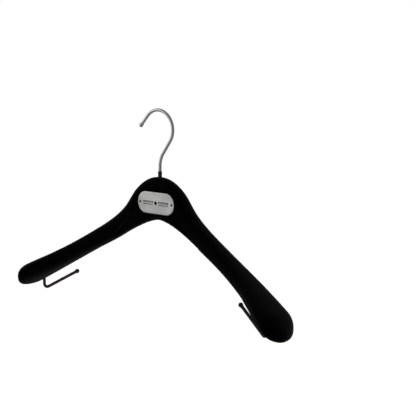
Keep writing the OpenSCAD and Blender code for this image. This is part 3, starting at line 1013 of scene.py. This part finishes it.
class HANGER_OT_hook(bpy.types.Operator):
    """Builds the chrome wire hook"""

    bl_idname = "hanger.hook"
    bl_label = "Hook"

    def execute(self, context):
        settings = context.scene.hanger_hook
        chrome = chrome_finish(settings.chrome)
        lean, loop = settings.lean, settings.loop_radius
        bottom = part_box("hook")[0].z
        lower = [bottom + 0.3 * MM, NECK_Z, NECK_Z + COLLAR_HIGH.z - COLLAR_LOW.z, NECK_Z + settings.stem]
        points = [(0.0, bottom)] + [(0.0, z) for z in sorted(lower)]
        bend_centre = (settings.bend_radius, NECK_Z + settings.stem)
        points += arc(bend_centre, settings.bend_radius, math.pi, -lean, settings.arc_step)
        x, z = points[-1]
        run_end = (x + settings.lean_run * math.sin(lean), z + settings.lean_run * math.cos(lean))
        points += [((x + run_end[0]) / 2, (z + run_end[1]) / 2), run_end]
        centre = (run_end[0] - loop * math.cos(lean), run_end[1] + loop * math.sin(lean))
        points += arc(centre, loop, -lean, settings.loop_turn, settings.arc_step)
        radii = [settings.wire_radius - 0.3 * MM] + [settings.wire_radius] * (len(points) - 1)
        heading = math.pi / 2 - lean + settings.loop_turn
        x, z = points[-1]
        end = [(0.0, settings.wire_radius)]
        end += swelled_end(settings.wire_radius, settings.swell_radius, settings.swell_length)
        for along, radius in end:
            reach = settings.tail + along
            points.append((x + reach * math.cos(heading), z + reach * math.sin(heading)))
            radii.append(radius)
        path = [(x, 0.0, z) for x, z in points]
        obj = wire_object("hook_wire", path, radii, settings.sides, chrome)
        cut(obj, punch_mark(settings))
        finish_mesh(obj, math.radians(35))
        take_over(obj, "hook", "hook_chrome", "hook")
        return {"FINISHED"}


def punch_mark(settings):
    """Small round punch, set shallow into the front of the stem."""
    place = (0, -settings.wire_radius - 0.25 * MM, COLLAR_HIGH.z + 1.9 * MM)
    r = settings.punch
    profile = [(r * math.sin(a), -r * math.cos(a)) for a in (math.pi * k / 12 for k in range(1, 12))]
    return finish_mesh(lathe("punch", profile, place, (0, 1, 0), 20), math.radians(30))


class HANGER_OT_collar(bpy.types.Operator):
    """Builds the black sleeve on the hook's stem"""

    bl_idname = "hanger.collar"
    bl_label = "Sleeve"

    def execute(self, context):
        outer = COLLAR_HIGH.x
        bore = context.scene.hanger_hook.wire_radius - 0.05 * MM
        low, high = COLLAR_LOW.z, COLLAR_HIGH.z
        lip = 0.4 * MM
        turns = [math.pi / 2 * k / 6 for k in range(7)]
        profile = [(bore, low), (outer - 0.15 * MM, low), (outer, low + 0.15 * MM)]
        profile += [(outer - 0.06 * MM, low + 3.4 * MM), (outer, low + 5.6 * MM)]
        profile += [(outer - lip + lip * math.cos(a), high - lip + lip * math.sin(a)) for a in turns]
        profile += [(bore, high - 0.12 * MM)]
        obj = lathe("hook_sleeve", ring_closed(profile), (0, 0, 0), (0, 0, 1), 48)
        open_lathe(obj)
        set_material(obj, coated_finish("black_sleeve", (0.0035, 0.0035, 0.0038), 0.45, 0.65, 1500.0))
        finish_mesh(obj, math.radians(40))
        take_over(obj, "hook", "black_sleeve", "hook_collar")
        return {"FINISHED"}


def ring_closed(profile):
    """A tube's profile that comes back to its first point."""
    return profile + [profile[0]]


def open_lathe(obj):
    """Takes the end discs off a lathed tube, whose wall is closed by itself."""
    bm = bmesh.new()
    bm.from_mesh(obj.data)
    discs = [f for f in bm.faces if len(f.verts) > 4]
    bmesh.ops.delete(bm, geom=discs, context="FACES_ONLY")
    bm.to_mesh(obj.data)
    bm.free()


class HANGER_OT_swivel(bpy.types.Operator):
    """Finishes the bush, washer and retainer inside the neck"""

    bl_idname = "hanger.swivel"
    bl_label = "Swivel Parts"

    def execute(self, context):
        bush = coated_finish("bush_plastic", (0.62, 0.6, 0.55), 0.35, 0.55, 900.0)
        steel = plated_finish("steel", (0.5, 0.51, 0.53))
        for name, material in (
            ("hook_bush", bush), ("thrust_washer", steel), ("hook_retainer", steel),
        ):
            set_material(NODES[name], material)
        return {"FINISHED"}


# ---------------------------------------------------------------- badge

class HANGER_OT_badge(bpy.types.Operator):
    """Builds the satin badge plate and its engraving"""

    bl_idname = "hanger.badge"
    bl_label = "Badge Plate"

    def execute(self, context):
        settings = context.scene.hanger_badge
        plate = satin_finish(settings.plate)
        fill = coated_finish("engraving_fill", (0.008, 0.008, 0.009), 0.6, 0.8, 1500.0)
        width, _, height = BADGE_HIGH - BADGE_LOW
        front, back = BADGE_LOW.y, BADGE_HIGH.y
        round_r = settings.edge_round

        def outline(inset):
            return rounded_outline(
                width - 2 * inset, height - 2 * inset, max(0.1 * MM, settings.corner - inset), 20
            )

        loops = [(back, outline(0.12 * MM)), (back - 0.12 * MM, outline(0.0))]
        for k in range(7):
            a = math.pi / 2 * k / 6
            inset = round_r * (1 - math.cos(a))
            loops.append((front + round_r * (1 - math.sin(a)), outline(inset)))
        groove, deep = settings.border_inset, front + settings.engraving
        inner = groove + settings.border_width
        slope = 0.07 * MM
        loops += [
            (front, outline(groove)), (deep, outline(groove + slope)),
            (deep, outline(inner - slope)), (front, outline(inner)),
        ]
        obj = stacked("badge_face", loops, BADGE_CENTRE)
        set_material(obj, plate)
        finish_mesh(obj, math.radians(30))
        for cutter in ornament(settings, fill):
            cut(obj, cutter)
        snug = pin_radius() + 0.08 * MM
        wide = pin_radius() + settings.countersink
        profile = [(wide, -4 * MM), (wide, 0.1 * MM), (snug, settings.countersink), (snug, 4 * MM)]
        for x in pin_places():
            hole = lathe("hole", profile, (x, front, BADGE_CENTRE.z), (0, 1, 0), 32)
            set_material(hole, fill)
            cut(obj, finish_mesh(hole, math.radians(30)))
        finish_mesh(obj, math.radians(30))
        take_over(obj, "hanger", "badge_metal", "badge_plate")
        return {"FINISHED"}


def pin_radius():
    """Radius of the drive pins."""
    return (PIN_HIGH.z - PIN_LOW.z) / 2


def pin_places():
    """Distances of the two pins from the centre."""
    return (PIN_LOW.x + pin_radius(), PIN_HIGH.x - pin_radius())


def ornament(settings, fill):
    """Cutters for the diamond, the rows of bars and the rules."""
    front = BADGE_LOW.y
    depth = 2 * settings.engraving
    height = BADGE_CENTRE.z
    half = settings.diamond / math.sqrt(2)
    diamond = [(half, 0), (0, half), (-half, 0), (0, -half)]
    made = [stacked("diamond", [(front + depth / 2, diamond), (front - depth / 2, diamond)], BADGE_CENTRE)]
    tree = engraved_row_tree()
    run = (settings.bars - 1) * settings.bar_pitch
    rule_x = settings.first_bar + run / 2
    bar = (settings.bar_width, depth, settings.bar_height)
    rule = (settings.rule, depth, settings.rule_height)
    bar_z = height + settings.bar_lift
    rule_z = height - settings.rule_drop
    rows = [
        (settings.bars, (settings.first_bar, front, bar_z), bar),
        (settings.bars, (-settings.first_bar - run, front, bar_z), bar),
        (1, (rule_x, front, rule_z), rule),
        (1, (-rule_x, front, rule_z), rule),
    ]
    for bars, start, size in rows:
        row = mesh_object("row", [(0, 0, 0)])
        run_tree(
            row, tree,
            {"Bars": bars, "Start": start, "Pitch": settings.bar_pitch, "Bar size": size,
             "Material": fill},
        )
        made.append(row)
    for cutter in made:
        set_material(cutter, fill)
        finish_mesh(cutter, math.radians(30))
    return made


class HANGER_OT_pins(bpy.types.Operator):
    """Builds the two domed drive pins"""

    bl_idname = "hanger.pins"
    bl_label = "Badge Pins"

    def execute(self, context):
        r = pin_radius()
        dome = 0.35 * MM
        turns = [math.pi / 2 * k / 6 for k in range(7)]
        profile = [(max(0.04 * MM, r * math.sin(a)), dome * (1 - math.cos(a))) for a in turns]
        profile += [(r, PIN_HIGH.y - PIN_LOW.y - 0.3 * MM), (r - 0.3 * MM, PIN_HIGH.y - PIN_LOW.y)]
        pins = [
            lathe("pin", profile, (x, PIN_LOW.y, BADGE_CENTRE.z), (0, 1, 0), 28)
            for x in pin_places()
        ]
        obj = join("badge_drive_pins", pins)
        set_material(obj, coated_finish("pin_metal", (0.008, 0.008, 0.009), 0.45, 0.6, 2500.0))
        finish_mesh(obj, math.radians(40))
        take_over(obj, "hanger", "pin_metal", "badge_pins")
        return {"FINISHED"}


def join(name, objects):
    """Joins objects into one, their places kept."""
    bm = bmesh.new()
    for obj in objects:
        bm.from_mesh(obj.data)
        bpy.data.objects.remove(obj)
    joined = mesh_object(name, [])
    bm.to_mesh(joined.data)
    bm.free()
    return joined


# ---------------------------------------------------------------- strap bars

def bar_line(settings):
    """Corner and ball centre of the right-hand bar, and the top of its leg."""
    leg_x = BAR_HIGH.x - settings.rod_radius
    leg_y = BAR_LOW.y + settings.rod_radius
    under = top_line(leg_x / MM) - height_line(leg_x / MM)
    corner = Vector((leg_x, leg_y, NECK_Z + under * MM - settings.gap))
    ball = (TIP_LOW + TIP_HIGH) / 2
    leg_top = NECK_Z + under * MM + settings.leg_depth
    return corner, ball, leg_top


def bar_path(settings, tip_grip):
    """Centreline of the right-hand bar from the top of its leg to its ball end."""
    corner, ball, leg_top = bar_line(settings)
    run = (ball - corner).normalized()
    turn = math.pi - Vector((0, 0, 1)).angle(run)
    trim = settings.bend_radius * math.tan(turn / 2)
    inward = (run - Vector((0, 0, run.z))).normalized()
    centre = corner + Vector((0, 0, trim)) + inward * settings.bend_radius
    path = [Vector((corner.x, corner.y, leg_top)), corner + Vector((0, 0, trim))]
    n = math.ceil(turn / settings.arc_step)
    for i in range(1, n + 1):
        a = turn * i / n
        path.append(centre - inward * settings.bend_radius * math.cos(a)
                    - Vector((0, 0, settings.bend_radius * math.sin(a))))
    radius = (TIP_HIGH.z - TIP_LOW.z) / 2
    path.append(ball - run * (radius - tip_grip))
    return path, run


class HANGER_OT_strap_bars(bpy.types.Operator):
    """Builds the coated rod under each arm"""

    bl_idname = "hanger.strap_bars"
    bl_label = "Strap Bars"

    def execute(self, context):
        settings = context.scene.hanger_bars
        coat = coated_finish("bar_coat", settings.coat, 0.42, 0.56, 1700.0)
        path, _ = bar_path(settings, 1.6 * MM)
        radii = [settings.rod_radius] * len(path)
        for name, side in (("left_strap_bar", -1), ("right_strap_bar", 1)):
            line = [(side * p.x, p.y, p.z) for p in path]
            obj = wire_object(name + "_rod", line, radii, settings.sides, coat)
            take_over(obj, "hanger", "bar_coat", name)
        return {"FINISHED"}


class HANGER_OT_bar_tips(bpy.types.Operator):
    """Builds the moulded ball end of each bar"""

    bl_idname = "hanger.bar_tips"
    bl_label = "Bar Ball Ends"

    def execute(self, context):
        settings = context.scene.hanger_bars
        plastic = coated_finish("tip_plastic", (0.0065, 0.0065, 0.007), 0.25, 0.4, 1300.0)
        _, run = bar_path(settings, 1.6 * MM)
        ball = (TIP_LOW + TIP_HIGH) / 2
        r = (TIP_HIGH.z - TIP_LOW.z) / 2
        neck = settings.rod_radius + 0.3 * MM
        start = math.asin(neck / r)
        turns = [start + (math.pi - start) * k / 22 for k in range(23)]
        profile = [(settings.rod_radius - 0.1 * MM, -r * 1.02), (neck - 0.12 * MM, -r * 1.02)]
        profile += [(neck, -r * 0.96)]
        # A fine parting ridge goes round the ball's widest place
        for a in turns:
            ridge = 0.05 * MM * math.exp(-(((a - math.pi / 2) / 0.06) ** 2))
            profile.append((max(0.05 * MM, (r - 0.05 * MM + ridge) * math.sin(a)), -r * math.cos(a)))
        for name, side in (("left_bar_tip", -1), ("right_bar_tip", 1)):
            place = Vector((side * ball.x, ball.y, ball.z))
            axis = Vector((side * run.x, run.y, run.z))
            obj = lathe(name + "_ball", profile, place, axis, 32)
            set_material(obj, plastic)
            finish_mesh(obj, math.radians(40))
            take_over(obj, "hanger", "tip_plastic", name)
        return {"FINISHED"}


# ---------------------------------------------------------------- stage

def view_direction(settings):
    """Unit vector from the camera to its aim."""
    a, e = settings.azimuth, settings.elevation
    return Vector((-math.sin(a) * math.cos(e), math.cos(a) * math.cos(e), -math.sin(e)))


def soft_light(name, place, aim, size, power, tint):
    """A rectangular soft box."""
    data = bpy.data.lights.new(name, "AREA")
    data.shape = "RECTANGLE"
    data.size, data.size_y = size
    data.energy = power
    data.color = tint
    obj = bpy.data.objects.new(name, data)
    bpy.context.scene.collection.objects.link(obj)
    obj.location = place
    obj.rotation_mode = "QUATERNION"
    obj.rotation_quaternion = (Vector(aim) - Vector(place)).to_track_quat("-Z", "Y")
    return obj


def toward(tree, way, direction, span, levels):
    """Light level that rises smoothly towards a direction."""
    share = add(
        tree, "ShaderNodeVectorMath", {0: way, 1: direction}, "Value", operation="DOT_PRODUCT"
    )
    return ramp(tree, share, *span, *levels, smooth=True)


def studio_world():
    """Seamless white behind the object; a soft studio, brighter on one side, round it."""
    world = bpy.data.worlds.new("studio")
    bpy.context.scene.world = world
    world.use_nodes = True
    tree = world.node_tree
    tree.nodes.clear()
    way = add(tree, "ShaderNodeTexCoord", out="Generated")
    rays = tree.nodes.new("ShaderNodeLightPath")
    mirrored = toward(tree, way, (-0.87, -0.49, 0.0), (0.46, 0.98), (0.19, 0.97))
    diffused = toward(tree, way, (0.75, 0.1, 0.65), (-0.3, 1.0), (0.06, 1.1))
    level = add(
        tree, "ShaderNodeMix", {"Factor": rays.outputs["Is Glossy Ray"], "A": diffused, "B": mirrored},
        "Result",
    )
    strength = sum_up(tree, "MAXIMUM", level, rays.outputs["Is Camera Ray"])
    shade = add(tree, "ShaderNodeBackground", {"Color": (1, 1, 1, 1), "Strength": strength})
    output = tree.nodes.new("ShaderNodeOutputWorld")
    tree.links.new(shade, output.inputs["Surface"])


def pale_floor(drop):
    """A wide pale floor below the hanging object."""
    size = 4.0
    corners = [(-size, -size, -drop), (size, -size, -drop), (size, size, -drop), (-size, size, -drop)]
    floor = mesh_object("floor", corners, faces=[(0, 1, 2, 3)])
    material, tree, shader = new_material("pale_floor")
    place = add(tree, "ShaderNodeTexCoord", out="Object")
    # The floor is full white to the camera and dim in the mirror of the chrome
    rays = tree.nodes.new("ShaderNodeLightPath").outputs
    glow = ramp(tree, rays["Is Camera Ray"], 0.0, 1.0, 0.25, 0.45)
    glow = sum_up(tree, "MULTIPLY", glow, ramp(tree, rays["Is Glossy Ray"], 0.0, 1.0, 1.0, 0.0))
    mottle = noise(tree, place, 3.0, 3.0)
    pale = blend_colours(tree, mottle, (0.86, 0.85, 0.84, 1), (0.9, 0.89, 0.88, 1))
    tone = blend_colours(tree, rays["Is Glossy Ray"], pale, (0.3, 0.295, 0.29, 1))
    set_shader(
        tree, shader,
        {"Base Color": tone, "Roughness": 0.9, "Emission Color": (1, 0.985, 0.965, 1),
         "Emission Strength": glow},
    )
    set_material(floor, material)


class HANGER_OT_stage(bpy.types.Operator):
    """Sets up the camera, the floor and the soft lights"""

    bl_idname = "hanger.stage"
    bl_label = "Stage"

    def execute(self, context):
        scene = context.scene
        settings = scene.hanger_stage
        data = bpy.data.cameras.new("camera")
        data.sensor_width = 36.0
        data.lens = settings.lens
        camera = bpy.data.objects.new("camera", data)
        scene.collection.objects.link(camera)
        ahead = view_direction(settings)
        camera.location = Vector(settings.aim) - ahead * settings.distance
        camera.rotation_mode = "QUATERNION"
        camera.rotation_quaternion = ahead.to_track_quat("-Z", "Y")
        scene.camera = camera
        scene.view_settings.view_transform = "Standard"
        overhead = soft_light(
            "overhead", (0.35, 0.05, 0.85), (0, 0, -0.15), (1.1, 0.8), settings.key, (0.95, 0.98, 1.0)
        )
        overhead.visible_glossy = False
        studio_world()
        pale_floor(settings.floor_drop)
        return {"FINISHED"}


# ---------------------------------------------------------------- add-on

OPERATORS = (
    HANGER_OT_body,
    HANGER_OT_hook,
    HANGER_OT_collar,
    HANGER_OT_swivel,
    HANGER_OT_badge,
    HANGER_OT_pins,
    HANGER_OT_strap_bars,
    HANGER_OT_bar_tips,
    HANGER_OT_stage,
)


class HANGER_PT_panel(bpy.types.Panel):
    """Lists the pieces of the hanger"""

    bl_idname = "HANGER_PT_panel"
    bl_label = "Clothes Hanger"
    bl_space_type = "VIEW_3D"
    bl_region_type = "UI"
    bl_category = "Hanger"

    def draw(self, context):
        for operator in OPERATORS:
            self.layout.operator(operator.bl_idname)
        for name, group in SETTINGS.items():
            box = self.layout.box()
            box.label(text=group.__doc__)
            for key in group.__annotations__:
                box.prop(getattr(context.scene, name), key)


CLASSES = (*SETTINGS.values(), *OPERATORS, HANGER_PT_panel)


def register():
    """Registers the classes and hangs the settings on the scene."""
    for cls in CLASSES:
        bpy.utils.register_class(cls)
    for name, group in SETTINGS.items():
        setattr(bpy.types.Scene, name, PointerProperty(type=group))


def unregister():
    """Takes the settings and the classes away again."""
    for name in SETTINGS:
        delattr(bpy.types.Scene, name)
    for cls in reversed(CLASSES):
        bpy.utils.unregister_class(cls)


def main():
    """Builds every piece and the stage."""
    register()
    for operator in OPERATORS:
        group, name = operator.bl_idname.split(".")
        getattr(getattr(bpy.ops, group), name)()


if __name__ == "__main__":
    main()
